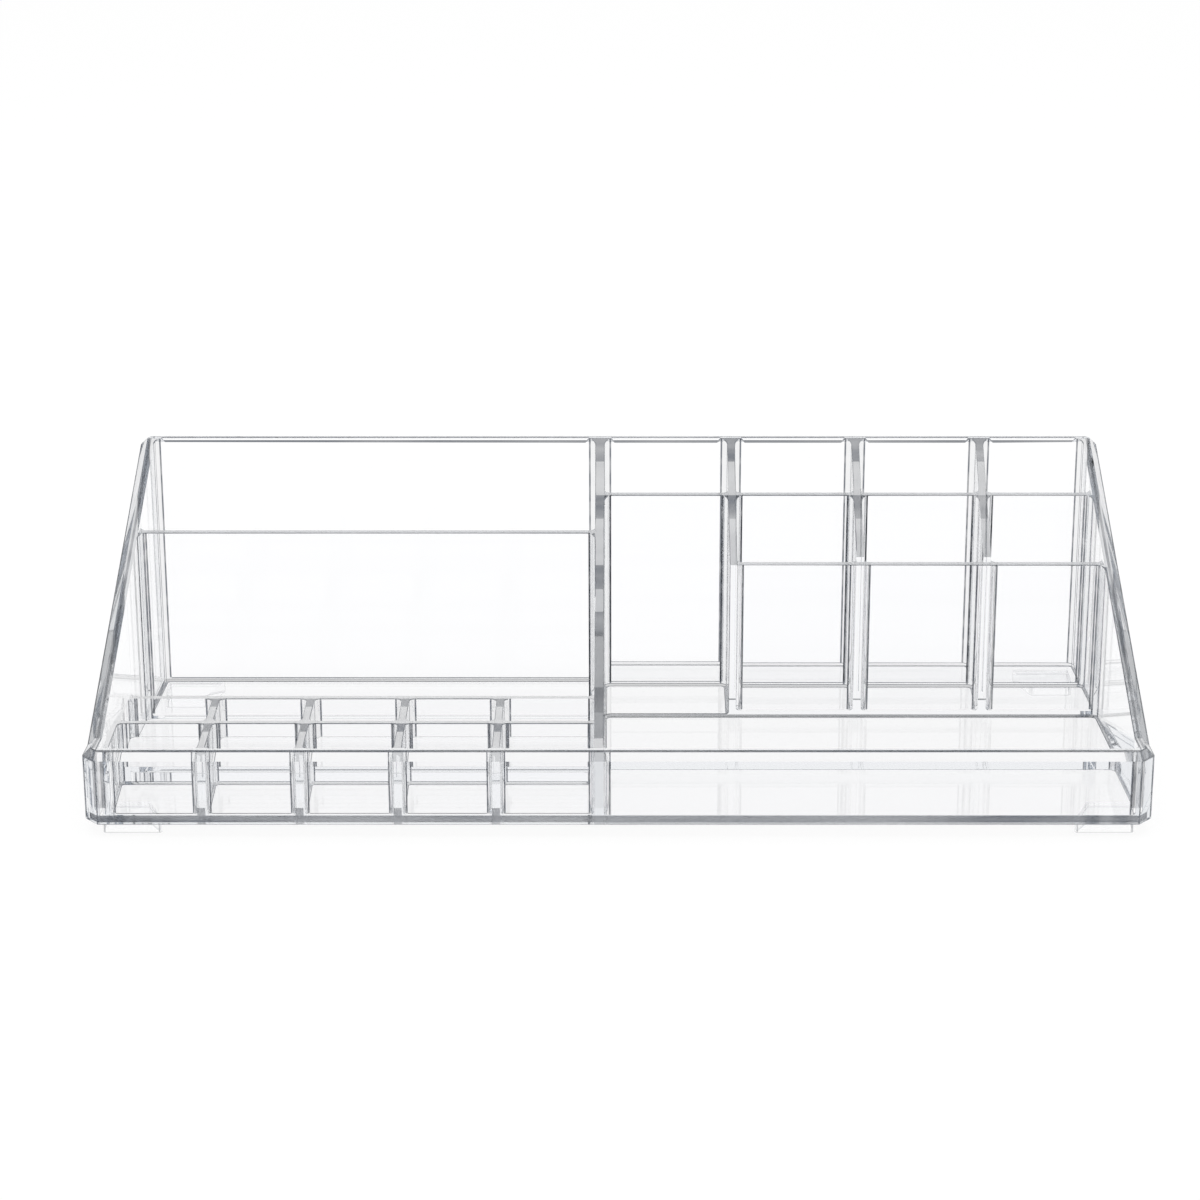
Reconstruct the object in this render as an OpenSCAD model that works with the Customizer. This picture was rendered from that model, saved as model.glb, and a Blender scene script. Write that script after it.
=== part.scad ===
// Clear vanity organizer: ten small cells and two long pockets on the left,
// eight brush compartments and an open tray on the right.
// Units are millimetres. X is to the right, the front faces -Y, Z is up.

/* [Body] */
// Overall width along the front, at the underside
body_width = 400; // [300:1:460]
// Overall depth, front face to back face
body_depth = 131; // [124:0.2:145]
// Height of the back wall above the underside of the base
back_height = 106.6; // [90:0.2:130]
// Height of the front wall above the underside of the base
front_height = 28.9; // [26:0.1:34]
// Thickness of the base plate
base_thickness = 2.2; // [1.6:0.1:3]
// Thickness of the four outer walls, also the size of the corner chamfers
outer_wall = 5.6; // [4:0.1:6]
// Angle by which each side wall turns inward toward the back
side_taper = 5; // [3:0.1:6]
// Angle by which each side wall leans outward toward the top
side_lean = 0.1; // [0:0.1:2]
// Bevel along the outer top edges
rim_bevel = 2.8; // [1:0.1:3.2]
// Level run of the side rims behind the front wall before they climb
rim_level_run = 8.5; // [4:0.5:12]

/* [Partition] */
// Centre of the long partition, measured left of the body's centre
partition_offset = 7.3; // [4:0.1:12]
// Thickness of the long partition
partition_wall = 3.6; // [2:0.1:4.4]

/* [Left half] */
// Thickness of every inner divider
divider_wall = 3; // [2:0.1:3.4]
// Share of the clear depth that the front row of small cells takes
front_cell_share = 0.222; // [0.18:0.0005:0.23]
// Share of the clear depth that the rear row of small cells takes
rear_cell_share = 0.2037; // [0.17:0.0005:0.22]
// Share of the clear depth that the pocket behind the small cells takes
low_pocket_share = 0.2204; // [0.18:0.0005:0.25]
// How much wider the small cell beside the partition is than the others
inner_cell_extra = 1.4; // [0:0.1:3]
// How much narrower the small cell beside the liner is than the others
outer_cell_less = 0.8; // [0:0.1:3]
// How far the cell rims drop from the front wall to the rear cell wall
cell_rim_drop = 4.8; // [0:0.1:6]
// Thickness of the low liner that squares the outermost cells
liner_wall = 2.1; // [1.5:0.1:2.6]
// Distance of the liner's inner face from the side face at the front
liner_setback = 10.2; // [9.8:0.1:11]

/* [Right half] */
// Share of the clear depth that the open tray takes
tray_share = 0.5952; // [0.5:0.0005:0.62]
// Share of the clear depth that the front row of compartments takes
front_row_share = 0.1962; // [0.17:0.0005:0.22]
// Share of the clear depth that the sunken front part of the tray takes
sunken_share = 0.3235; // [0.2:0.0005:0.45]
// Share of the right half's width from the partition to the first compartment divider
first_column_share = 0.2499; // [0.22:0.0005:0.26]
// Share of the right half's width from one compartment divider to the next
column_share = 0.2368; // [0.21:0.0005:0.245]
// Height of the raised floors above the base plate
floor_rise = 6.1; // [2:0.1:8]
// Height of the compartment floor above the tray's raised floor
floor_step = 1.3; // [0.8:0.1:4]

/* [Feet] */
// Height of the feet
foot_height = 5.2; // [2:0.1:8]
// Length of each foot along the front
foot_length = 23; // [16:0.2:30]
// Width of each foot, front to back
foot_width = 15.2; // [10:0.2:18]
// How much shorter the inner side of each foot is than its outer side
foot_slant = 6.4; // [0:0.2:8]
// Distance of each foot from the front or back face
foot_inset = 3.2; // [1:0.1:6]
// Distance of each foot from the side face
foot_side_inset = 6.8; // [4:0.1:12]
// Rounding of the feet
foot_round = 2.4; // [1:0.1:3.5]

/* [Hidden] */
$fn = 48;
clear_plastic = [0.86, 0.9, 0.94, 0.5];
foot_plastic = [0.8, 0.84, 0.88, 0.6];
overrun = body_width; // how far every cutting shape runs past what it cuts
half_width = body_width / 2;
taper_rate = tan(side_taper);
lean_rate = tan(side_lean);
// the rim climbs in a straight line between these two places
climb_start = outer_wall + rim_level_run;
climb_end = body_depth - outer_wall;
climb_rate = (back_height - front_height) / (climb_end - climb_start);
back_inner = body_depth - outer_wall;
clear_depth = back_inner - outer_wall;
// left half, front to back
middle_cell_y = outer_wall + clear_depth * front_cell_share;
rear_cell_y = middle_cell_y + divider_wall + clear_depth * rear_cell_share;
long_pocket_y = rear_cell_y + divider_wall + clear_depth * low_pocket_share;
// right half, front to back
step_y = outer_wall + clear_depth * sunken_share;
panel_y = outer_wall + clear_depth * tray_share;
rear_row_y = panel_y + divider_wall + clear_depth * front_row_share;
raised_level = base_thickness + floor_rise;
compartment_level = raised_level + floor_step;
// places across the width
partition_x = -partition_offset;
partition_left = partition_x - partition_wall / 2;
partition_right = partition_x + partition_wall / 2;
liner_x = liner_setback - half_width;
cell_count = 5;
cell_pitch = (partition_left - liner_x - inner_cell_extra + outer_cell_less + divider_wall)
  / cell_count;
first_cell_x = liner_x - outer_cell_less + cell_pitch - divider_wall / 2;
cell_x = [for (i = [0 : cell_count - 2]) first_cell_x + i * cell_pitch];
right_width = half_width + partition_offset;
column_x = [for (i = [0 : 2]) partition_x + right_width * (first_column_share + i * column_share)];
foot_outer_x = half_width - foot_side_inset;

// half of the outer width at a place along the depth and height
function outer_half(y, z) = half_width - y * taper_rate + z * lean_rate;
// height of the climbing rim at a place along the depth
function rim_height(y) = y <= climb_start ? front_height : y >= climb_end ? back_height
  : front_height + (y - climb_start) * climb_rate;
// height of the small cells' rims, lower toward the back
function cell_rim(y) = front_height
  - cell_rim_drop * (y - outer_wall) / (rear_cell_y - outer_wall);

// puts a part made with its front at y = 0 and its underside at z = 0 in place
module place() translate([0, -body_depth / 2, foot_height]) children();

// everything on the outer side of a plane through a point; az turns, tip tilts its normal
module beyond(point, az, tip = 0)
  translate(point) rotate([0, -tip, az])
    translate([0, -overrun, -overrun]) cube([overrun, overrun * 2, overrun * 2]);

// everything on the inner side of a side wall's outer face, moved inward by inset
module within_side(side, inset) mirror([side < 0 ? 1 : 0, 0, 0])
  translate([half_width, 0, 0]) rotate([0, side_lean, side_taper])
    translate([-inset - overrun * 2, -overrun, -overrun])
      cube([overrun * 2, overrun * 2, overrun * 2]);

// cuts the side face, the two corner faces and the outer bevels of one side
module trim_side(side) mirror([side < 0 ? 1 : 0, 0, 0]) {
  beyond([half_width, 0, 0], side_taper, -side_lean);
  beyond([half_width - outer_wall, 0, 0], -45, -side_lean);
  beyond([outer_half(body_depth, 0) - outer_wall, body_depth, 0], 45, -side_lean);
}

// 45 degree bevel along a front corner face, then along a back corner face
module bevel_front_corner(side) mirror([side < 0 ? 1 : 0, 0, 0])
  beyond([outer_half(0, front_height) - outer_wall, 0, front_height - rim_bevel], -45, 45);

module bevel_back_corner(side) mirror([side < 0 ? 1 : 0, 0, 0])
  beyond([outer_half(body_depth, back_height) - outer_wall, body_depth,
    back_height - rim_bevel], 45, 45);

// bevel along a level stretch of a side rim
module bevel_level(side, y, z) mirror([side < 0 ? 1 : 0, 0, 0])
  beyond([outer_half(y, z - rim_bevel), y, z - rim_bevel], side_taper, 45);

// bevel along the climbing stretch of a side rim
module bevel_climb(side) mirror([side < 0 ? 1 : 0, 0, 0]) {
  fall = taper_rate - lean_rate * climb_rate - climb_rate;
  beyond([outer_half(climb_start, front_height - rim_bevel), climb_start,
    front_height - rim_bevel], atan(fall), asin(1 / sqrt(2 + fall * fall)));
}

// plate standing on edge along the depth: outline in [y, z], from x = left
module upright_plate(left, thick, outline)
  translate([left + thick, 0, 0]) rotate([90, 0, -90]) mirror([1, 0, 0])
    linear_extrude(thick) polygon(outline);

// outline of a plate whose top follows the climbing rim
function rim_outline(from, to, foot) = concat(
  [[from, foot], [to, foot], [to, rim_height(to)]],
  to > climb_end ? [[climb_end, back_height]] : [],
  from < climb_start ? [[climb_start, front_height]] : [],
  [[from, rim_height(from)]]);

module base_plate() color(clear_plastic) place()
  difference() {
    translate([-body_width, 0, 0]) cube([body_width * 2, body_depth, base_thickness]);
    trim_side(1);
    trim_side(-1);
  }

module front_wall() color(clear_plastic) place()
  difference() {
    translate([-body_width, 0, base_thickness])
      cube([body_width * 2, outer_wall, front_height - base_thickness]);
    beyond([0, 0, front_height - rim_bevel], -90, 45);
    for (side = [-1, 1]) {
      trim_side(side);
      bevel_front_corner(side);
      bevel_level(side, 0, front_height);
    }
  }

module back_wall() color(clear_plastic) place()
  difference() {
    translate([-body_width, back_inner, base_thickness])
      cube([body_width * 2, outer_wall, back_height - base_thickness]);
    beyond([0, body_depth, back_height - rim_bevel], 90, 45);
    for (side = [-1, 1]) {
      trim_side(side);
      bevel_back_corner(side);
      bevel_level(side, back_inner, back_height);
    }
  }

module side_wall(side) color(clear_plastic) place()
  difference() {
    upright_plate(side < 0 ? -body_width : 0, body_width,
      rim_outline(outer_wall, back_inner, base_thickness));
    within_side(side, outer_wall);
    trim_side(side);
    intersection() {
      bevel_level(side, climb_start, front_height);
      bevel_climb(side);
    }
  }

module left_side_wall() side_wall(-1);
module right_side_wall() side_wall(1);

module centre_partition() color(clear_plastic) place()
  upright_plate(partition_left, partition_wall,
    rim_outline(outer_wall, back_inner, base_thickness));

// panel across the left half, from the side wall to the partition
module left_cross_panel(y, top)
  intersection() {
    translate([-body_width, y, base_thickness])
      cube([body_width + partition_left, divider_wall, top - base_thickness]);
    within_side(-1, outer_wall);
  }

module long_pocket_wall() color(clear_plastic) place()
  left_cross_panel(long_pocket_y, rim_height(long_pocket_y));

module rear_cell_wall() color(clear_plastic) place()
  left_cross_panel(rear_cell_y, cell_rim(rear_cell_y));

// half the height at which the crossing plates are slotted into each other
cross_level = raised_level + (cell_rim(middle_cell_y) - raised_level) / 2;

module middle_cell_wall() color(clear_plastic) place()
  difference() {
    translate([liner_x, middle_cell_y, base_thickness])
      cube([partition_left - liner_x, divider_wall, cell_rim(middle_cell_y) - base_thickness]);
    for (x = cell_x)
      translate([x - divider_wall / 2, middle_cell_y - outer_wall, cross_level])
        cube([divider_wall, divider_wall + outer_wall * 2, front_height]);
  }

module cell_divider(x) color(clear_plastic) place()
  upright_plate(x - divider_wall / 2, divider_wall, [
    [outer_wall, base_thickness], [middle_cell_y, base_thickness],
    [middle_cell_y, cross_level], [middle_cell_y + divider_wall, cross_level],
    [middle_cell_y + divider_wall, raised_level], [rear_cell_y, raised_level],
    [rear_cell_y, cell_rim(rear_cell_y)], [outer_wall, front_height]]);

module cell_divider_1() cell_divider(cell_x[0]);
module cell_divider_2() cell_divider(cell_x[1]);
module cell_divider_3() cell_divider(cell_x[2]);
module cell_divider_4() cell_divider(cell_x[3]);

module cell_liner() color(clear_plastic) place()
  intersection() {
    upright_plate(liner_x - liner_wall, liner_wall, [
      [outer_wall, base_thickness], [rear_cell_y, base_thickness],
      [rear_cell_y, cell_rim(rear_cell_y)], [outer_wall, front_height]]);
    within_side(-1, outer_wall);
  }

// raised floor of the rear row of small cells, between the two cell walls
module rear_cell_floor() color(clear_plastic) place()
  intersection() {
    translate([liner_x, middle_cell_y + divider_wall, base_thickness])
      cube([partition_left - liner_x, rear_cell_y - middle_cell_y - divider_wall, floor_rise]);
    within_side(-1, outer_wall);
  }

module compartment_floor() color(clear_plastic) place()
  intersection() {
    translate([partition_right, panel_y, base_thickness])
      cube([body_width, back_inner - panel_y, compartment_level - base_thickness]);
    within_side(1, outer_wall);
  }

module tray_step_floor() color(clear_plastic) place()
  intersection() {
    translate([partition_right, step_y, base_thickness])
      cube([body_width, panel_y - step_y, floor_rise]);
    within_side(1, outer_wall);
  }

// height at which the rear wall and the dividers are slotted into each other
column_cross_level = compartment_level + (rim_height(rear_row_y) - compartment_level) / 2;

module rear_compartment_wall() color(clear_plastic) place()
  difference() {
    intersection() {
      translate([partition_right, rear_row_y, compartment_level])
        cube([body_width, divider_wall, rim_height(rear_row_y) - compartment_level]);
      within_side(1, outer_wall);
    }
    for (x = column_x)
      translate([x - divider_wall / 2, rear_row_y - outer_wall, column_cross_level])
        cube([divider_wall, divider_wall + outer_wall * 2, back_height]);
  }

// upright divider of the compartments: outline in [y, z], slotted over the rear wall
module compartment_divider(x, from) color(clear_plastic) place()
  difference() {
    upright_plate(x - divider_wall / 2, divider_wall,
      rim_outline(from, back_inner, compartment_level));
    translate([x - outer_wall, rear_row_y, column_cross_level - back_height])
      cube([outer_wall * 2, divider_wall, back_height]);
  }

module compartment_divider_1() compartment_divider(column_x[0], panel_y);
module compartment_divider_2() compartment_divider(column_x[1], panel_y + divider_wall);
module compartment_divider_3() compartment_divider(column_x[2], panel_y + divider_wall);

module front_compartment_wall() color(clear_plastic) place()
  intersection() {
    translate([column_x[0] + divider_wall / 2, panel_y, compartment_level])
      cube([body_width, divider_wall, rim_height(panel_y) - compartment_level]);
    within_side(1, outer_wall);
  }

// foot with rounded outer corners and lower edges, its outer end at x = 0
module foot_shape()
  intersection() {
    linear_extrude(foot_height) difference() {
      polygon([[0, 0], [0, foot_width], [foot_slant - foot_length, foot_width],
        [-foot_length, 0]]);
      for (edge = [0, 1]) translate([0, edge * foot_width]) mirror([0, edge])
        corner_waste(foot_round);
    }
    translate([-foot_length, foot_width, 0]) rotate([90, 0, 0])
      linear_extrude(foot_width) difference() {
        square([foot_length, foot_height]);
        translate([foot_length, 0]) corner_waste(foot_round);
      }
  }

// what a round corner leaves over, for a corner at the origin open toward -x and +y
module corner_waste(radius)
  difference() {
    translate([-radius, 0]) square(radius);
    translate([-radius, radius]) circle(radius);
  }

// side is -1 or 1 across, rear is 0 at the front and 1 at the back
module foot(side, rear) color(foot_plastic)
  translate([0, -body_depth / 2, 0]) mirror([side < 0 ? 1 : 0, 0, 0])
    translate([foot_outer_x - rear * (body_depth - foot_inset) * taper_rate,
      rear ? body_depth - foot_inset : foot_inset, 0])
      mirror([0, rear, 0]) foot_shape();

module foot_front_left() foot(-1, 0);
module foot_front_right() foot(1, 0);
module foot_back_left() foot(-1, 1);
module foot_back_right() foot(1, 1);

base_plate();
front_wall();
back_wall();
left_side_wall();
right_side_wall();
centre_partition();
long_pocket_wall();
rear_cell_wall();
middle_cell_wall();
cell_divider_1();
cell_divider_2();
cell_divider_3();
cell_divider_4();
cell_liner();
rear_cell_floor();
rear_compartment_wall();
front_compartment_wall();
compartment_divider_1();
compartment_divider_2();
compartment_divider_3();
compartment_floor();
tray_step_floor();
foot_front_left();
foot_front_right();
foot_back_left();
foot_back_right();
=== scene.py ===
import math
import bmesh
import bpy
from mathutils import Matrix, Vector
from mathutils.geometry import intersect_line_line_2d


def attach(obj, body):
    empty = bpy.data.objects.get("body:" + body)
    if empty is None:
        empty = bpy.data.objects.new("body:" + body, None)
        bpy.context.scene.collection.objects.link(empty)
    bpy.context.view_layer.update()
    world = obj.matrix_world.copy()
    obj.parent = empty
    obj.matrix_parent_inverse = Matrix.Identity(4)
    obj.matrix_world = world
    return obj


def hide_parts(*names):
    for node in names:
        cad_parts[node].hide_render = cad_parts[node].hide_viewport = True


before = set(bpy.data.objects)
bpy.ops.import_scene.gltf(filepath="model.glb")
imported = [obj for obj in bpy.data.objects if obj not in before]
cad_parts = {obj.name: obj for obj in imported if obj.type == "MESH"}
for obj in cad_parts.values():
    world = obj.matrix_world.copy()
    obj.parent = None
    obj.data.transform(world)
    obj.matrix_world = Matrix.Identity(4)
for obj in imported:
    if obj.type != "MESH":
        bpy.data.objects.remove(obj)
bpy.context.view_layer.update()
print("frame loaded")

# the clear body in mm: x from the middle, y from the front face, z from the underside of the base
body = {
    "width": 400, "depth": 131, "backHeight": 106.6, "frontHeight": 28.9,
    "base": 2.2, "wall": 5.6, "divider": 3.0,
    "taper": 5.0,                  # degrees that each side comes in towards the back
    "lean": 0.1,                   # degrees that each side leans out
    "facet": 45,                   # degrees between a face and the facet beside it
    "bevel": 2.8,                  # facet along the outer rims
    "backCorner": 2.4,             # facet down each back corner
    "innerBevel": 1.5,             # facet of the back rim along the pockets
    "levelRun": 8.5,               # level rim behind the front wall before it climbs
    "partitionX": -7.3, "partitionWall": 3.6,
    "cells": 5,                    # in each row on the left
    "innerCellExtra": 1.4,         # the cells by the partition are wider than the others
    "outerCellLess": 0.8,          # and the outermost ones narrower
    "cellRimDrop": 4.8,            # fall of the cells' rims towards the back
    "linerWall": 2.1, "linerSetback": 10.2,
    "columns": 4,                  # of compartments on the right
    # shares of the clear depth, and of the width to the right of the partition
    "frontCellShare": 0.222, "rearCellShare": 0.2037, "lowPocketShare": 0.2204,
    "sunkenShare": 0.3235, "trayShare": 0.5952, "frontRowShare": 0.1962,
    "firstColumnShare": 0.2499, "columnShare": 0.2368,
    "floorRise": 6.1,              # raised floors over the base
    "floorStep": 1.3,              # compartment floors over the raised floors
    "footHeight": 5.2,
}
pocket = {
    "corner": 2.6, "cellCorner": 2.0,                      # radius of the upright corners
    "floor": 1.0, "backFloor": 1.4, "crispFloor": 0.15,    # radius along the floor
    "steps": 6,                    # strips in a quarter turn
    "top": 130,                    # how high the cutting shapes reach
}
cutting = {
    "blank": 1000,                 # mm, the cube that planes trim to a block
    "onPlane": 1e-5,               # mm from a plane that count as on it
    "onLine": 1e-6,                # metres, where a face is divided for its painted shades
    "split": 2e-6,                 # metres between corners that a cut left apart
    "flat": 0.05,                  # degrees between faces that are one
}
mm = 0.001

taperAngle, facet = math.radians(body["taper"]), body["facet"]
taperRate, leanRate = math.tan(taperAngle), math.tan(math.radians(body["lean"]))
halfWidth, depth, base = body["width"] / 2, body["depth"], body["base"]
wall, divider = body["wall"], body["divider"]
backInner = depth - wall
clearDepth = backInner - wall
climbStart = wall + body["levelRun"]
climbRate = (body["backHeight"] - body["frontHeight"]) / (backInner - climbStart)
partitionLeft = body["partitionX"] - body["partitionWall"] / 2
partitionRight = body["partitionX"] + body["partitionWall"] / 2
middleCellY = wall + clearDepth * body["frontCellShare"]
rearCellY = middleCellY + divider + clearDepth * body["rearCellShare"]
longPocketY = rearCellY + divider + clearDepth * body["lowPocketShare"]
stepY = wall + clearDepth * body["sunkenShare"]
panelY = wall + clearDepth * body["trayShare"]
rearRowY = panelY + divider + clearDepth * body["frontRowShare"]
raised = base + body["floorRise"]
compartmentFloor = raised + body["floorStep"]
linerX = body["linerSetback"] - halfWidth
cellPitch = (partitionLeft - linerX - body["innerCellExtra"] + body["outerCellLess"]
             + divider) / body["cells"]
cellX = [linerX - body["outerCellLess"] - divider / 2 + cellPitch * (i + 1)
         for i in range(body["cells"] - 1)]
columnX = [body["partitionX"] + (halfWidth - body["partitionX"])
           * (body["firstColumnShare"] + i * body["columnShare"])
           for i in range(body["columns"] - 1)]


def rimHeight(y):
    climbed = body["frontHeight"] + (y - climbStart) * climbRate
    return min(body["backHeight"], max(body["frontHeight"], climbed))


def outerHalf(y, z):
    return halfWidth - y * taperRate + z * leanRate


def innerHalf(y, z):
    return outerHalf(y, z) - wall / math.cos(taperAngle)


def place(x, y, z):                # body millimetres to the frame's metres
    return Vector((x * mm, (y - depth / 2) * mm, (z + body["footHeight"]) * mm))


def facing(axis, way, at):         # a plane square to an axis, and the way that it faces
    point, normal, index = [0, 0, 0], [0, 0, 0], "xyz".index(axis)
    point[index], normal[index] = at, way
    return point, normal


def sideNormal(side, azimuth, tip):
    a, t = math.radians(azimuth), math.radians(tip)
    return Vector((side * math.cos(a) * math.cos(t), math.sin(a) * math.cos(t), math.sin(t)))


def meshObject(name, bm):
    mesh = bpy.data.meshes.new(name)
    bmesh.ops.recalc_face_normals(bm, faces=bm.faces)
    bm.to_mesh(mesh)
    bm.free()
    thing = bpy.data.objects.new(name, mesh)
    bpy.context.scene.collection.objects.link(thing)
    return thing


def convexBlock(name, planes):     # keeps what lies behind each plane
    bm = bmesh.new()
    bmesh.ops.create_cube(bm, size=cutting["blank"])
    for point, normal in planes:
        cut = bmesh.ops.bisect_plane(
            bm, geom=bm.verts[:] + bm.edges[:] + bm.faces[:], dist=cutting["onPlane"],
            plane_co=point, plane_no=normal, clear_outer=True)
        rim = [part for part in cut["geom_cut"] if isinstance(part, bmesh.types.BMEdge)]
        bmesh.ops.contextual_create(bm, geom=rim)
    for vert in bm.verts:
        vert.co = place(*vert.co)
    return meshObject(name, bm)


def roundedBlock(name, footprint, bottom, top, cornerRound, edgeRound):
    # footprint gives the four corners at a height, counted against the clock from above
    steps = pocket["steps"]
    turns = [math.pi / 2 * (1 - i / steps) for i in range(steps + 1)]
    levels = [(edgeRound * (1 - math.cos(a)), bottom + edgeRound * (1 - math.sin(a)))
              for a in turns]
    bm = bmesh.new()
    rings = []
    for inset, z in levels + [(0, top)]:
        corners = [Vector(c) for c in footprint(z)]
        ring = []
        for i, corner in enumerate(corners):
            before = (corner - corners[i - 1]).normalized()
            after = (corners[(i + 1) % len(corners)] - corner).normalized()
            turn = -before.angle_signed(after)
            centre = corner + (after - before).normalized() * cornerRound / math.cos(turn / 2)
            start = math.atan2(-before.x, before.y)   # outward normal of the edge before
            for k in range(steps + 1):
                a = start + turn * k / steps
                reach = cornerRound - inset
                point = place(centre.x + reach * math.cos(a), centre.y + reach * math.sin(a), z)
                ring.append(bm.verts.new(point))
        rings.append(ring)
    for lower, upper in zip(rings, rings[1:]):
        for i in range(len(lower)):
            j = (i + 1) % len(lower)
            bm.faces.new((lower[i], lower[j], upper[j], upper[i]))
    bm.faces.new(rings[0][::-1])
    bm.faces.new(rings[-1])
    return meshObject(name, bm)


def cutAway(target, cutter):
    change = target.modifiers.new("cut", "BOOLEAN")
    change.operation = "DIFFERENCE"
    change.solver = "MANIFOLD"
    change.object = cutter
    graph = bpy.context.evaluated_depsgraph_get()
    mesh = bpy.data.meshes.new_from_object(target.evaluated_get(graph))
    target.modifiers.clear()
    spent = [target.data, cutter.data]
    target.data = mesh
    bpy.data.objects.remove(cutter)
    for old in spent:
        bpy.data.meshes.remove(old)


def carve(name, *planes):          # takes a block with flat sides out of the body
    cutAway(clearBody, convexBlock(name, planes))


# outer block
backLow, frontLow = body["backHeight"] - body["bevel"], body["frontHeight"] - body["bevel"]
planes = [facing("z", -1, 0), facing("z", 1, body["backHeight"]),
          facing("y", -1, 0), facing("y", 1, depth), ((0, depth, backLow), (0, 1, 1))]
for side in (-1, 1):
    cornerX = side * (outerHalf(depth, 0) - body["backCorner"])
    planes += [
        ((side * halfWidth, 0, 0), sideNormal(side, body["taper"], -body["lean"])),
        ((side * (halfWidth - wall), 0, 0), sideNormal(side, -facet, -body["lean"])),
        ((cornerX, depth, 0), sideNormal(side, facet, -body["lean"])),
        ((cornerX, depth, backLow), sideNormal(side, facet, facet)),
        ((side * outerHalf(backInner, backLow), backInner, backLow),
         sideNormal(side, body["taper"], facet))]
clearBody = convexBlock("clearBody", planes)

# level and climbing rim, with the facets along it
carve("rimCut", facing("z", -1, body["frontHeight"]),
      ((0, climbStart, body["frontHeight"]), (0, climbRate, -1)))
carve("frontBevel", facing("y", 1, wall), ((0, 0, frontLow), (0, 1, -1)))
turnX = outerHalf(0, body["frontHeight"]) - wall
fall = taperRate - leanRate * climbRate - climbRate
for side in (-1, 1):
    carve("cornerBevel", facing("y", 1, wall),
          ((side * turnX, 0, frontLow), -sideNormal(side, -facet, facet)))
    rimFoot = (side * outerHalf(climbStart, frontLow), climbStart, frontLow)
    carve("sideBevel", (rimFoot, -sideNormal(side, body["taper"], facet)),
          (rimFoot, -Vector((side, fall, 1)).normalized()))
print("outer block shaped")


def straightFootprint(x0, x1, y0, y1):
    return lambda z: [(x0, y0), (x1, y0), (x1, y1), (x0, y1)]


def leftFootprint(y0, y1):         # follows the left side wall
    return lambda z: [(-innerHalf(y0, z), y0), (partitionLeft, y0),
                      (partitionLeft, y1), (-innerHalf(y1, z), y1)]


def rightFootprint(x0, y0, y1):    # follows the right side wall
    return lambda z: [(x0, y0), (innerHalf(y0, z), y0), (innerHalf(y1, z), y1), (x0, y1)]


# the pockets: footprint, floor, corner radius, floor radius
corner, soft, crisp = pocket["corner"], pocket["floor"], pocket["crispFloor"]
pockets = [
    (leftFootprint(rearCellY + divider, longPocketY), base, corner, crisp),
    (leftFootprint(longPocketY + divider, backInner), base, corner, pocket["backFloor"]),
    (rightFootprint(partitionRight, wall, stepY), base, corner, crisp),
    (rightFootprint(partitionRight, wall, panelY), raised, corner, soft),
]
cellEdges = [linerX] + [x + k * divider / 2 for x in cellX for k in (-1, 1)] + [partitionLeft]
for x0, x1 in zip(cellEdges[::2], cellEdges[1::2]):
    rearX = max(x0, -innerHalf(rearCellY, raised))
    pockets += [
        (straightFootprint(x0, x1, wall, middleCellY), base, pocket["cellCorner"], soft),
        (straightFootprint(rearX, x1, middleCellY + divider, rearCellY), raised, corner, crisp)]
columnEdges = [partitionRight] + [x + k * divider / 2 for x in columnX for k in (-1, 1)]
openColumn = straightFootprint(*columnEdges[:2], stepY + divider, rearRowY)
pockets.append((openColumn, compartmentFloor, corner, soft))
for i in range(body["columns"]):
    for y0, y1 in ((panelY + divider, rearRowY), (rearRowY + divider, backInner)):
        if i == 0 and y1 == rearRowY:
            continue               # the first column is open to the tray
        if i < len(columnX):
            shape = straightFootprint(*columnEdges[2 * i:2 * i + 2], y0, y1)
        else:
            shape = rightFootprint(columnEdges[2 * i], y0, y1)
        pockets.append((shape, compartmentFloor, corner, soft))
for shape, floorZ, cornerRound, floorRound in pockets:
    cutAway(clearBody, roundedBlock("pocket", shape, floorZ, pocket["top"],
                                    cornerRound, floorRound))
print("%d pockets cut" % len(pockets))

# wall tops that stand below the outer rim
past = pocket["corner"]            # takes the tops of the roundings too
innerLeft, innerRight = [
    ((side * innerHalf(0, 0), 0, 0), Vector((side, taperRate, -leanRate)).normalized())
    for side in (-1, 1)]
cellSlope = body["cellRimDrop"] / (rearCellY - wall)
carve("overCells", facing("y", -1, wall), facing("y", 1, rearCellY + divider + past),
      facing("x", 1, partitionLeft), innerLeft,
      ((0, wall, body["frontHeight"]), (0, -cellSlope, -1)))
carve("overLongWall", facing("y", -1, longPocketY - past),
      facing("y", 1, longPocketY + divider + past), facing("x", 1, partitionLeft), innerLeft,
      facing("z", -1, rimHeight(longPocketY)))
carve("overPanel", facing("y", -1, panelY - past), facing("y", 1, panelY + divider),
      facing("x", -1, columnEdges[2]), innerRight, facing("z", -1, rimHeight(panelY)))
for i in range(body["columns"]):
    farEnd = facing("x", 1, columnEdges[2 * i + 1]) if i < len(columnX) else innerRight
    for wallY in (panelY, rearRowY)[i == 0:]:
        carve("overWall", facing("x", -1, columnEdges[2 * i]), farEnd,
              facing("y", -1, wallY - past), facing("y", 1, wallY + divider + past),
              facing("z", -1, rimHeight(wallY)))

# facet of the back rim along the pockets, mitred at their ends
facetFoot = body["backHeight"] - body["innerBevel"]
backHalf = innerHalf(backInner, facetFoot)
backEdges = [-backHalf, partitionLeft] + columnEdges + [backHalf]
for x0, x1 in zip(backEdges[::2], backEdges[1::2]):
    carve("overBackWall", facing("y", -1, backInner - body["innerBevel"]),
          ((0, backInner, facetFoot), (0, 1, -1)),
          ((x0 + past, 0, body["backHeight"]), (-1, 0, -1)),
          ((x1 - past, 0, body["backHeight"]), (1, 0, -1)))
print("wall tops lowered")

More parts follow.
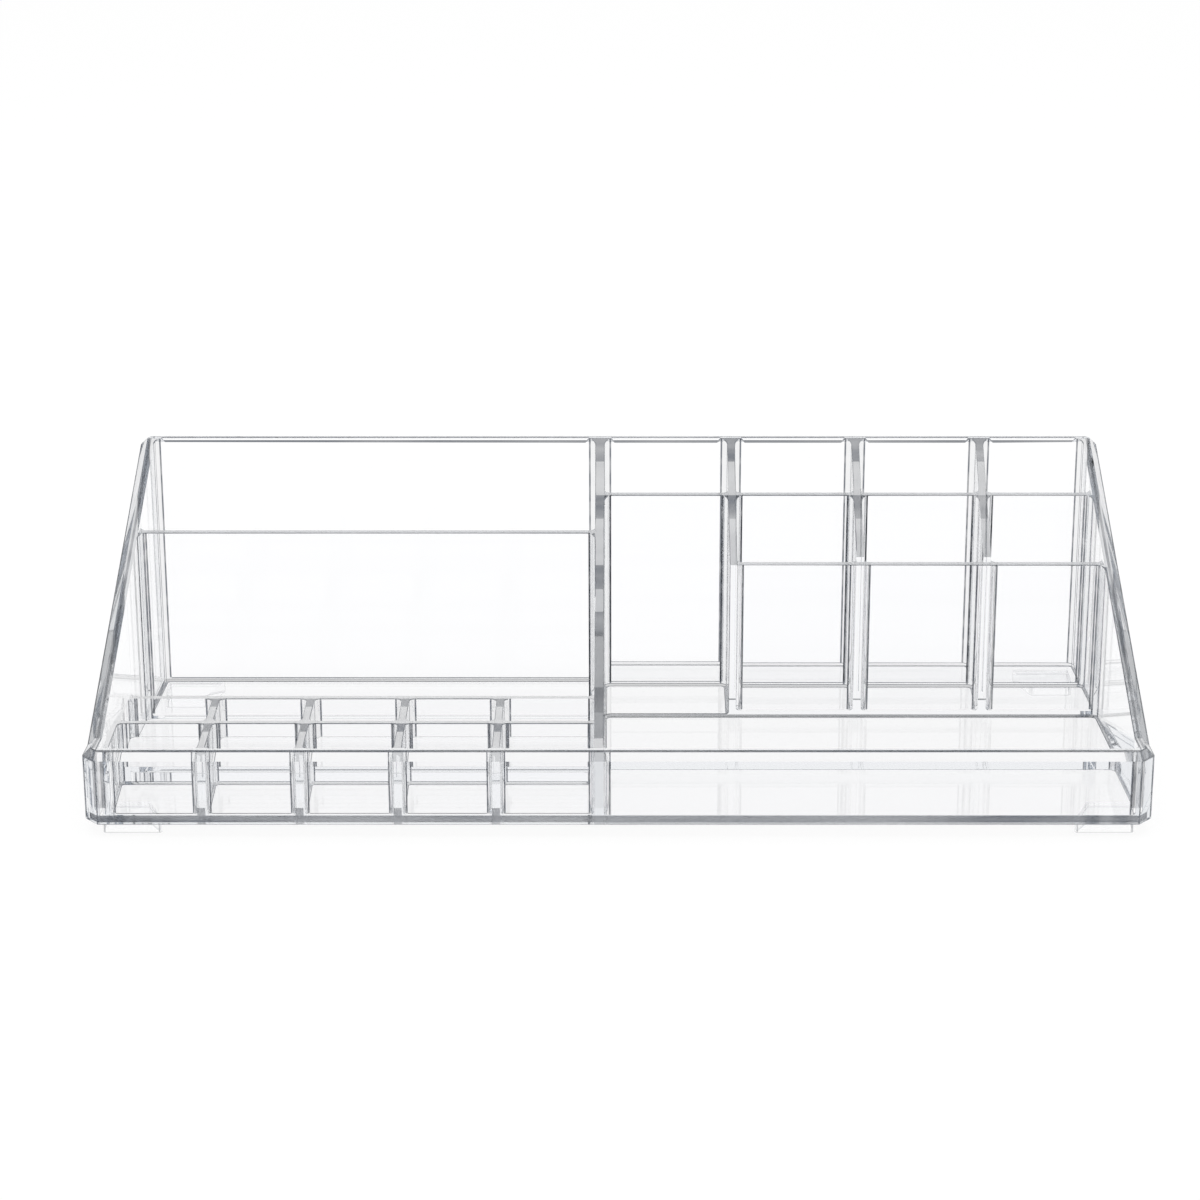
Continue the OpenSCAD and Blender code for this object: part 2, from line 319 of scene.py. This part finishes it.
softening = {
    "radius": 0.3,                 # mm left on the moulded edges
    "steps": 2, "profile": 0.5,    # strips, and a round profile
    "squareFrom": 60,              # degrees: every sharper edge is softened
    "facetFrom": 40,               # degrees: sharper ones where they are long or at the front
    "facetLength": 20,             # mm that count as long
    "lengthwise": 0.99,            # share of an edge that runs from side to side
    "crispFoot": 1.4,              # mm from the front and the back where such edges stay crisp
    "tries": 5,
    "foldLimit": 0.02,             # square mm that a face may cover twice
    "foldReach": 0.8,              # mm around a fold where edges stay crisp
    "mark": 1,                     # slot number of the softened faces until the painted shades are laid
}


def joinSplits(bm):                # joins what the cuts left split
    bmesh.ops.remove_doubles(bm, verts=bm.verts, dist=cutting["split"])
    bmesh.ops.dissolve_limit(bm, angle_limit=math.radians(cutting["flat"]),
                             verts=bm.verts, edges=bm.edges)


def isOutward(edge):               # square corners everywhere, and the rims' long facets
    if not (edge.is_manifold and edge.is_convex):
        return False
    one, other = (vert.co for vert in edge.verts)
    bend, middleY = edge.calc_face_angle(), ((one + other) / 2 / mm).y
    if bend > math.radians(softening["squareFrom"]):
        return True
    lengthwise = abs((other - one).normalized().x) > softening["lengthwise"]
    if lengthwise and abs(middleY) > depth / 2 - softening["crispFoot"]:
        return False               # the feet of the front and back facets
    return bend > math.radians(softening["facetFrom"]) and (
        edge.calc_length() > softening["facetLength"] * mm or middleY < wall - depth / 2)


def foldSpots(bm):                 # where the outline of a face crosses itself
    shares, spots = {}, []
    for triangle in bm.calc_loop_triangles():
        a, b, c = (loop.vert.co for loop in triangle)
        face = triangle[0].face
        shares[face] = shares.get(face, 0) + (b - a).cross(c - a).length / 2
    for face, share in shares.items():
        if share - face.calc_area() < softening["foldLimit"] * mm * mm:
            continue
        thin = max(range(3), key=lambda axis: abs(face.normal[axis]))
        flat = [Vector([vert.co[axis] for axis in range(3) if axis != thin])
                for vert in face.verts]
        count = len(flat)
        for i in range(count):
            for j in range(i + 2, count - (i == 0)):
                if intersect_line_line_2d(flat[i], flat[i + 1], flat[j], flat[(j + 1) % count]):
                    spots += [face.verts[k % count].co.copy() for k in (i, i + 1, j, j + 1)]
    return spots


def softenEdges(thing):            # rounds the outward edges, apart from where a face would fold
    plain, spots = thing.data.copy(), []
    for attempt in range(softening["tries"]):
        bm = bmesh.new()
        bm.from_mesh(plain)
        joinSplits(bm)
        outward = [edge for edge in bm.edges if isOutward(edge) and not any(
            (vert.co - spot).length < softening["foldReach"] * mm
            for spot in spots for vert in edge.verts)]
        made = bmesh.ops.bevel(
            bm, geom=outward, offset=softening["radius"] * mm, segments=softening["steps"],
            profile=softening["profile"], affect="EDGES", clamp_overlap=False)
        for face in made["faces"]:
            face.material_index = softening["mark"]
        found = foldSpots(bm)
        print("softening %d edges leaves %d folded corners" % (len(outward), len(found)))
        spots += found
        bm.to_mesh(thing.data)
        bm.free()
        if not found:
            break
    bpy.data.meshes.remove(plain)


softenEdges(clearBody)
# narrow gap between the cells' outer liner and the side wall
carve("linerGap", facing("y", -1, wall), facing("x", 1, linerX - body["linerWall"]),
      innerLeft, facing("z", -1, base))

# painted shade: how dark each face is painted, standing in for the dark refractions along the
# clear plastic's edges and rims, from 0 where it is clear to 1, and lengths in mm
paintedShades = {
    "edge": 0.95,                  # softened edges
    "cornerFacet": 0.6,            # facets over the front corners
    "frontRim": 0.97, "frontStrip": 4.2,     # the front rim, as far back as its strip
    "backRim": 0.0,
    "backLine": 0.95, "backStrip": 0.6,      # along both edges of the back rim
    "levelRim": 0.45,              # level rims of the walls from side to side
    "cellRim": 0.5,                # rims between the cells
    "slopingRim": 0.62,            # rims that climb to the back
    "darkRim": 0.9, "darkRun": 9,  # a rim's last stretch before the wall that it meets
    "rounding": 0.2,               # the strips of a rounding
    "roundingEnd": 0.98,           # its first and last strip
    "footShare": 0.7,              # of these on the feet
    "panelFoot": 0.75,             # painted shade line at the foot of the wall between tray and compartments
    "partitionEnd": 0.2,           # the partition's end in the front face
    # mm up the front face, then the painted shade at the tray, at the cells and at the cells'
    # dividers
    "band": [(1.1, 0.6, 0.15, 0.7), (3.9, 0.92, 0.94, 0.94), (7.0, 0.0, 0.0, 0.8)],
    # mm in from the side face, and the painted shade of the side rim's strip up to there
    "sideStrips": [(0.6, 0.95), (2.8, 0.3), (3.5, 0.45), (4.5, 0.82), (20, 0.35)],
    # mm in from the side, and the painted shade of the front face's upright strip up to there
    "endStrips": [(1.2, 0.1), (2.4, 0.8), (4.6, 0.05), (6.2, 0.75), (7.6, 0.4), (9.1, 0.85)],
    "sideFrom": 182,               # a side rim is farther than this from the middle
    "rimAbove": 18,                # and every rim higher than this
    "frontReach": 3.36,            # the middle of each front face is nearer than this
    # shares of a face's direction: upward for rims, level rims and facets, forward for the front
    "rimFrom": 0.76, "levelFrom": 0.98, "facetFrom": 0.45, "frontFrom": 0.6,
    "slight": 0.1,                 # a share that counts as none
}
shading = {
    "sharpFrom": 28,               # degrees between faces that stay a crisp edge
    "roundFrom": 10,               # degrees between the strips of a rounding
    "stripWidth": 1.0,             # mm, the widest strip of a rounding
}
crossWalls = (middleCellY, rearCellY, panelY, rearRowY, backInner)
bandTop = paintedShades["band"][-1][0]


def middleOf(face):                # in body millimetres
    x, y, z = face.calc_center_median() / mm
    return x, y + depth / 2, z - body["footHeight"]


def longest(face):
    return max(edge.calc_length() for edge in face.edges)


def isStrip(face):                 # narrow, as the faces of a rounding are
    return face.calc_area() < shading["stripWidth"] * mm * longest(face)


def isFront(face):                 # the front face and the upright facets at its ends
    return (face.normal.y < -paintedShades["frontFrom"] and abs(face.normal.z) < paintedShades["slight"]
            and middleOf(face)[1] < paintedShades["frontReach"])


def isBand(face):
    return isFront(face) and middleOf(face)[2] < bandTop


def isRim(face):
    return face.normal.z > paintedShades["rimFrom"] and middleOf(face)[2] > paintedShades["rimAbove"]


def isSideRim(face):               # the rims on the two sides and the facets along them
    x, y, z = middleOf(face)
    return (face.normal.z > paintedShades["facetFrom"] and abs(x) > paintedShades["sideFrom"]
            and y > wall and z > paintedShades["rimAbove"])


def isBackRim(face):               # the top of the back wall and its facet along the pockets
    y, z = middleOf(face)[1:]
    return (face.normal.z > paintedShades["facetFrom"] and abs(face.normal.x) < paintedShades["slight"]
            and y > backInner and z > backLow)


# painted shade of each rim
def rimShade(face, x, y):
    if y < wall:
        return paintedShades["frontRim"] if y < paintedShades["frontStrip"] else 0
    climbing = face.normal.z < paintedShades["levelFrom"]
    crossing = y > rearCellY or middleCellY < y < middleCellY + divider or x > partitionLeft
    if crossing and not climbing:
        return paintedShades["levelRim"]
    ahead = min((wallY - y for wallY in crossWalls if wallY > y), default=depth)
    if ahead < paintedShades["darkRun"]:
        return paintedShades["darkRim"]
    return paintedShades["slopingRim"] if climbing else paintedShades["cellRim"]


# painted shade of the front face and its band
def frontShade(x, z):
    if z > bandTop:
        if partitionLeft < x < partitionRight:
            return paintedShades["partitionEnd"]
        return next((shadeLevel for end, shadeLevel in paintedShades["endStrips"] if halfWidth - abs(x) < end), 0)
    atDivider = min(abs(x - middle) for middle in cellX) < divider / 2
    kind = 1 if x > partitionLeft else 2 + atDivider
    return next(strip[kind] for strip in paintedShades["band"] if z < strip[0])


# painted shade of a rounding's strips, darkest at its ends
def stripShade(face, x, y, z):
    half = longest(face) / 2       # leaves out the ends of the strip
    bends = [math.degrees(edge.calc_face_angle()) for edge in face.edges
             if edge.is_manifold and edge.calc_length() > half]
    rounded = sum(shading["roundFrom"] < bend < shading["sharpFrom"] for bend in bends)
    shadeLevel = (0, paintedShades["roundingEnd"], paintedShades["rounding"])[min(rounded, 2)]
    if z < 0:
        return shadeLevel * paintedShades["footShare"]
    onRight = x > partitionLeft
    footY, footZ = (panelY, compartmentFloor) if onRight else (longPocketY, base)
    reach = soft if onRight else pocket["backFloor"]
    atFoot = abs(y - footY - divider / 2) < divider / 2 + reach and z < footZ + reach
    if rounded and atFoot:         # only the tray's side gets a painted shade line at its foot
        return paintedShades["panelFoot"] if onRight and y < footY else 0
    return shadeLevel


def paintedShadeOf(face):                  # painted shade: edges and the ends of roundings are painted dark, and flats stay clear
    x, y, z = middleOf(face)
    if face.material_index == softening["mark"]:
        return paintedShades["edge"]
    if abs(x) > halfWidth - wall and y < wall and face.normal.z > paintedShades["facetFrom"]:
        return paintedShades["cornerFacet"]
    if isSideRim(face):
        inset = outerHalf(y, z) - abs(x)
        return next(shadeLevel for end, shadeLevel in paintedShades["sideStrips"] if inset < end)
    if isBackRim(face):
        inset = min(y - backInner, depth - body["bevel"] - y)
        return paintedShades["backLine"] if inset < paintedShades["backStrip"] else paintedShades["backRim"]
    if isRim(face):
        return rimShade(face, x, y)
    if isFront(face) and z > 0:
        return frontShade(x, z)
    return stripShade(face, x, y, z) if isStrip(face) else 0


def shadeLines():                   # where faces are divided for the painted shades: which faces, a point and a direction
    lines = [(isFront, "z", strip[0]) for strip in paintedShades["band"]]
    lines += [(isBand, "x", x) for x in cellEdges[1:-1]]
    lines += [(isFront, "x", x) for x in [partitionLeft, partitionRight] + [
        side * (halfWidth - end) for side in (-1, 1) for end, shadeLevel in paintedShades["endStrips"]]]
    lines += [(isRim, "y", y) for y in [paintedShades["frontStrip"], wall, middleCellY + divider] + [
        y - run for y in crossWalls for run in (0, paintedShades["darkRun"])]]
    lines += [(isBackRim, "y", y) for y in (
        backInner + paintedShades["backStrip"], depth - body["bevel"] - paintedShades["backStrip"])]
    lines = [(chosen, *facing(axis, 1, at)) for chosen, axis, at in lines]
    return lines + [
        (isSideRim, (side * (halfWidth - end), 0, 0),
         sideNormal(side, body["taper"], -body["lean"]))
        for side in (-1, 1) for end, shadeLevel in paintedShades["sideStrips"][:-1]]


# divides the faces along the painted shade lines and stores each face's painted shade
def layPaintedShades(thing):
    bm = bmesh.new()
    bm.from_mesh(thing.data)
    for chosen, point, normal in shadeLines():
        faces = [face for face in bm.faces if chosen(face)]
        parts = set(faces)
        for face in faces:
            parts.update(face.edges)
            parts.update(face.verts)
        bmesh.ops.bisect_plane(bm, geom=list(parts), dist=cutting["onLine"],
                               plane_co=place(*point), plane_no=normal)
    bm.normal_update()
    # each face's painted shade, standing in for the dark refractions of the clear plastic
    layer = bm.faces.layers.float.new("edgeTone")
    for face in bm.faces:
        face[layer] = paintedShadeOf(face)
        face.material_index = 0
    bm.to_mesh(thing.data)
    bm.free()


def smoothShade(thing):            # flats stay flat, and a rounding turns into the nearest flat
    bm = bmesh.new()
    bm.from_mesh(thing.data)
    bm.normal_update()
    limit = math.radians(shading["sharpFrom"])
    wide = {face for face in bm.faces if not isStrip(face)}

    def apart(one, other):         # a face too small for a direction is far from all
        return one.normal.angle(other.normal, math.tau)

    directions = []
    for face in bm.faces:
        for loop in face.loops:
            near = [other for other in loop.vert.link_faces
                    if other is face or apart(other, face) < limit]
            flats = [other for other in near if other in wide]
            if face in wide:
                directions.append(face.normal.copy())
            else:
                chosen = [min(flats, key=lambda flat: apart(flat, face))] if flats else near
                directions.append(sum((other.normal for other in chosen), Vector()).normalized())
    bm.free()
    thing.data.shade_smooth()
    thing.data.normals_split_custom_set(directions)


layPaintedShades(clearBody)
smoothShade(clearBody)
print("edge tones laid")


class Value:                       # a socket that takes part in sums
    def __init__(self, graph, socket):
        self.graph, self.socket = graph, socket

    def maths(self, operation, first, second):
        return self.graph.node("ShaderNodeMath", {"operation": operation}, {0: first, 1: second})

    def __sub__(self, other):
        return self.maths("SUBTRACT", self, other)

    def __rsub__(self, other):
        return self.maths("SUBTRACT", other, self)

    def __mul__(self, other):
        return self.maths("MULTIPLY", self, other)

    __rmul__ = __mul__

    def atLeast(self, other):
        return self.maths("MAXIMUM", self, other)


class Graph:                       # the nodes of a material or of the world
    def __init__(self, owner):
        owner.use_nodes = True
        self.tree = owner.node_tree
        self.tree.nodes.clear()

    def node(self, kind, settings=None, sockets=None, give=0):
        made = self.tree.nodes.new(kind)
        for name, setting in (settings or {}).items():
            if name == "stops":    # a ramp's grey stops, as (position, level)
                ramp = made.color_ramp
                while len(ramp.elements) < len(setting):
                    ramp.elements.new(1)
                for stop, (position, level) in zip(ramp.elements, setting):
                    stop.position, stop.color = position, (level, level, level, 1)
            else:
                setattr(made, name, setting)
        for key, value in (sockets or {}).items():
            if isinstance(value, Value):
                self.tree.links.new(value.socket, made.inputs[key])
            else:
                made.inputs[key].default_value = value
        return Value(self, made.outputs[give]) if len(made.outputs) else made


# clear moulded plastic: polished faces with slightly satin edges, and painted shade that darkens
# the edges and rims
plastic = {
    "ior": 1.5, "reflected": (0.15, 0.15, 0.15, 1),        # share of the mirroring that is kept
    "inside": (0.45, 0.5, 0.57), "density": 2.8,           # what a long way through it takes
    # the plastic's own faint tint, then the near black colour of the painted shade
    "tint": (0.993, 0.9935, 0.997, 1), "paintedShadeColour": (0.05, 0.056, 0.068, 1),
    "edgeRoughness": 0.2,
    "streakScale": (12.0, 12.0, 180.0), "streakDepth": 0.3,
}


def clearPlastic(name, look):
    material = bpy.data.materials.new(name)
    graph = Graph(material)
    shadeLevel = graph.node("ShaderNodeAttribute", {"attribute_name": "edgeTone"}, give="Fac")
    position = graph.node("ShaderNodeTexCoord", give="Object")
    stretched = graph.node("ShaderNodeVectorMath", {"operation": "MULTIPLY"},
                           {0: position, 1: look["streakScale"]})
    streaks = graph.node("ShaderNodeTexNoise", {}, {"Vector": stretched, "Scale": 1.0})
    # the noise breaks the painted shade into streaks and is one half on average, and 6 and 7 are
    # the colours that are mixed
    shadeLevel = shadeLevel * (1 - look["streakDepth"] * (1 - streaks * 2))
    # painted shade: the base colour goes from the plastic's tint towards near black as far as each
    # face is painted dark
    colour = graph.node("ShaderNodeMix", {"data_type": "RGBA"},
                        {0: shadeLevel, 6: look["tint"], 7: look["paintedShadeColour"]}, 2)
    shader = graph.node("ShaderNodeBsdfPrincipled", {}, {
        "Base Color": colour, "Transmission Weight": 1.0,
        "Roughness": shadeLevel * look["edgeRoughness"],
        "IOR": look["ior"], "Specular Tint": look["reflected"]})
    inside = graph.node("ShaderNodeVolumeAbsorption", {},
                        {"Color": (*look["inside"], 1), "Density": look["density"]})
    graph.node("ShaderNodeOutputMaterial", {}, {"Surface": shader, "Volume": inside})
    return material


clearPlasticLook = clearPlastic("clearPlastic", plastic)
clearBody.data.materials.clear()
clearBody.data.materials.append(clearPlasticLook)
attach(clearBody, "root")
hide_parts(*[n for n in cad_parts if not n.startswith("foot")])
print("body finished")

foot = {
    "length": 23, "width": 15.2,   # along the front, and front to back
    "slant": 6.4,                  # the side nearer to the middle is shorter by this
    "inset": 3.2, "sideInset": 6.8,
    "gap": 0.03,                   # below the body
    "corner": 1.2, "edge": 0.6,    # radius of the corners and of the edge on the table
}
for side, sideName in ((-1, "Left"), (1, "Right")):
    for rear, rearName in ((False, "Front"), (True, "Back")):
        outerX = halfWidth - foot["sideInset"] - rear * (depth - foot["inset"]) * taperRate
        nearY, farY = foot["inset"], foot["inset"] + foot["width"]
        points = [(outerX, nearY), (outerX, farY),
                  (outerX - foot["length"] + foot["slant"], farY),
                  (outerX - foot["length"], nearY)]
        points = [(side * x, depth - y if rear else y) for x, y in points]
        if (side < 0) != rear:     # keeps the corners counted the same way round
            points.reverse()
        footPiece = roundedBlock("foot" + rearName + sideName, lambda z: points,
                                 -body["footHeight"], -foot["gap"], foot["corner"], foot["edge"])
        footPiece.data.materials.append(clearPlasticLook)
        layPaintedShades(footPiece)
        smoothShade(footPiece)
        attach(footPiece, "root")
        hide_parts("foot_%s_%s" % (rearName.lower(), sideName.lower()))
print("feet made")

# metres, watts and shares of plain white
studio = {
    "floorSize": 6, "floorColour": (0.94, 0.94, 0.94, 1),
    "floorGlow": 0.93,             # what the camera, mirrors and clear parts see of it
    "skyStops": [(0.0, 1.0), (0.48, 1.0), (0.66, 0.72), (1.0, 0.72)],     # from the horizon up
    "lampWidth": 1.2, "lampDepth": 0.8, "lampPower": 12, "lampHeight": 1.2,
}
scene = bpy.context.scene
bpy.ops.mesh.primitive_plane_add(size=studio["floorSize"], location=(0, 0, 0))
floor = bpy.context.object
floor.name = "floor"
floorMaterial = bpy.data.materials.new("paleFloor")
graph = Graph(floorMaterial)
seenBy = [graph.node("ShaderNodeLightPath", give="Is %s Ray" % kind)
          for kind in ("Camera", "Glossy", "Transmission")]
seen = seenBy[0].atLeast(seenBy[1]).atLeast(seenBy[2])
glow = graph.node("ShaderNodeEmission", {}, {"Strength": 1.0})
matte = graph.node("ShaderNodeBsdfDiffuse", {}, {"Color": studio["floorColour"]})
mixed = graph.node("ShaderNodeMixShader", {}, {0: seen * studio["floorGlow"], 1: matte, 2: glow})
graph.node("ShaderNodeOutputMaterial", {}, {"Surface": mixed})
floor.data.materials.append(floorMaterial)

world = bpy.data.worlds.new("studio")
scene.world = world
graph = Graph(world)
direction = graph.node("ShaderNodeTexCoord", give="Generated")
upward = graph.node("ShaderNodeSeparateXYZ", {}, {0: direction}, "Z")
sky = graph.node("ShaderNodeValToRGB", {"stops": studio["skyStops"]}, {0: upward})
background = graph.node("ShaderNodeBackground", {}, {"Color": sky})
graph.node("ShaderNodeOutputWorld", {}, {"Surface": background})

lamp = bpy.data.lights.new("softTop", "AREA")
lamp.shape = "RECTANGLE"
lamp.size, lamp.size_y, lamp.energy = studio["lampWidth"], studio["lampDepth"], studio["lampPower"]
lampObject = bpy.data.objects.new("softTop", lamp)
lampObject.location = (0, 0, studio["lampHeight"])
lampObject.visible_glossy = lampObject.visible_transmission = False
scene.collection.objects.link(lampObject)
print("floor and light made")

# body millimetres, degrees, the lens in mm, shares of the picture's width, and metres
lens = {"x": 0.6, "y": -1214.3, "z": 615.9, "tilt": 20, "focal": 108.66, "sensor": 36,
        "shiftX": -0.01667, "shiftY": -0.1775, "nearest": 0.05, "farthest": 50}
camera = bpy.data.cameras.new("photoCamera")
camera.lens, camera.sensor_width = lens["focal"], lens["sensor"]
camera.shift_x, camera.shift_y = lens["shiftX"], lens["shiftY"]
camera.clip_start, camera.clip_end = lens["nearest"], lens["farthest"]
cameraObject = bpy.data.objects.new("photoCamera", camera)
cameraObject.location = place(lens["x"], lens["y"], lens["z"])
cameraObject.rotation_euler = (math.radians(90 - lens["tilt"]), 0, 0)
scene.collection.objects.link(cameraObject)
bpy.context.scene.camera = cameraObject
scene.view_settings.view_transform = "Standard"
bounces = {"max_bounces": 64, "transmission_bounces": 48, "glossy_bounces": 48}
for name, count in bounces.items():
    setattr(scene.cycles, name, count)

print("scene ready")
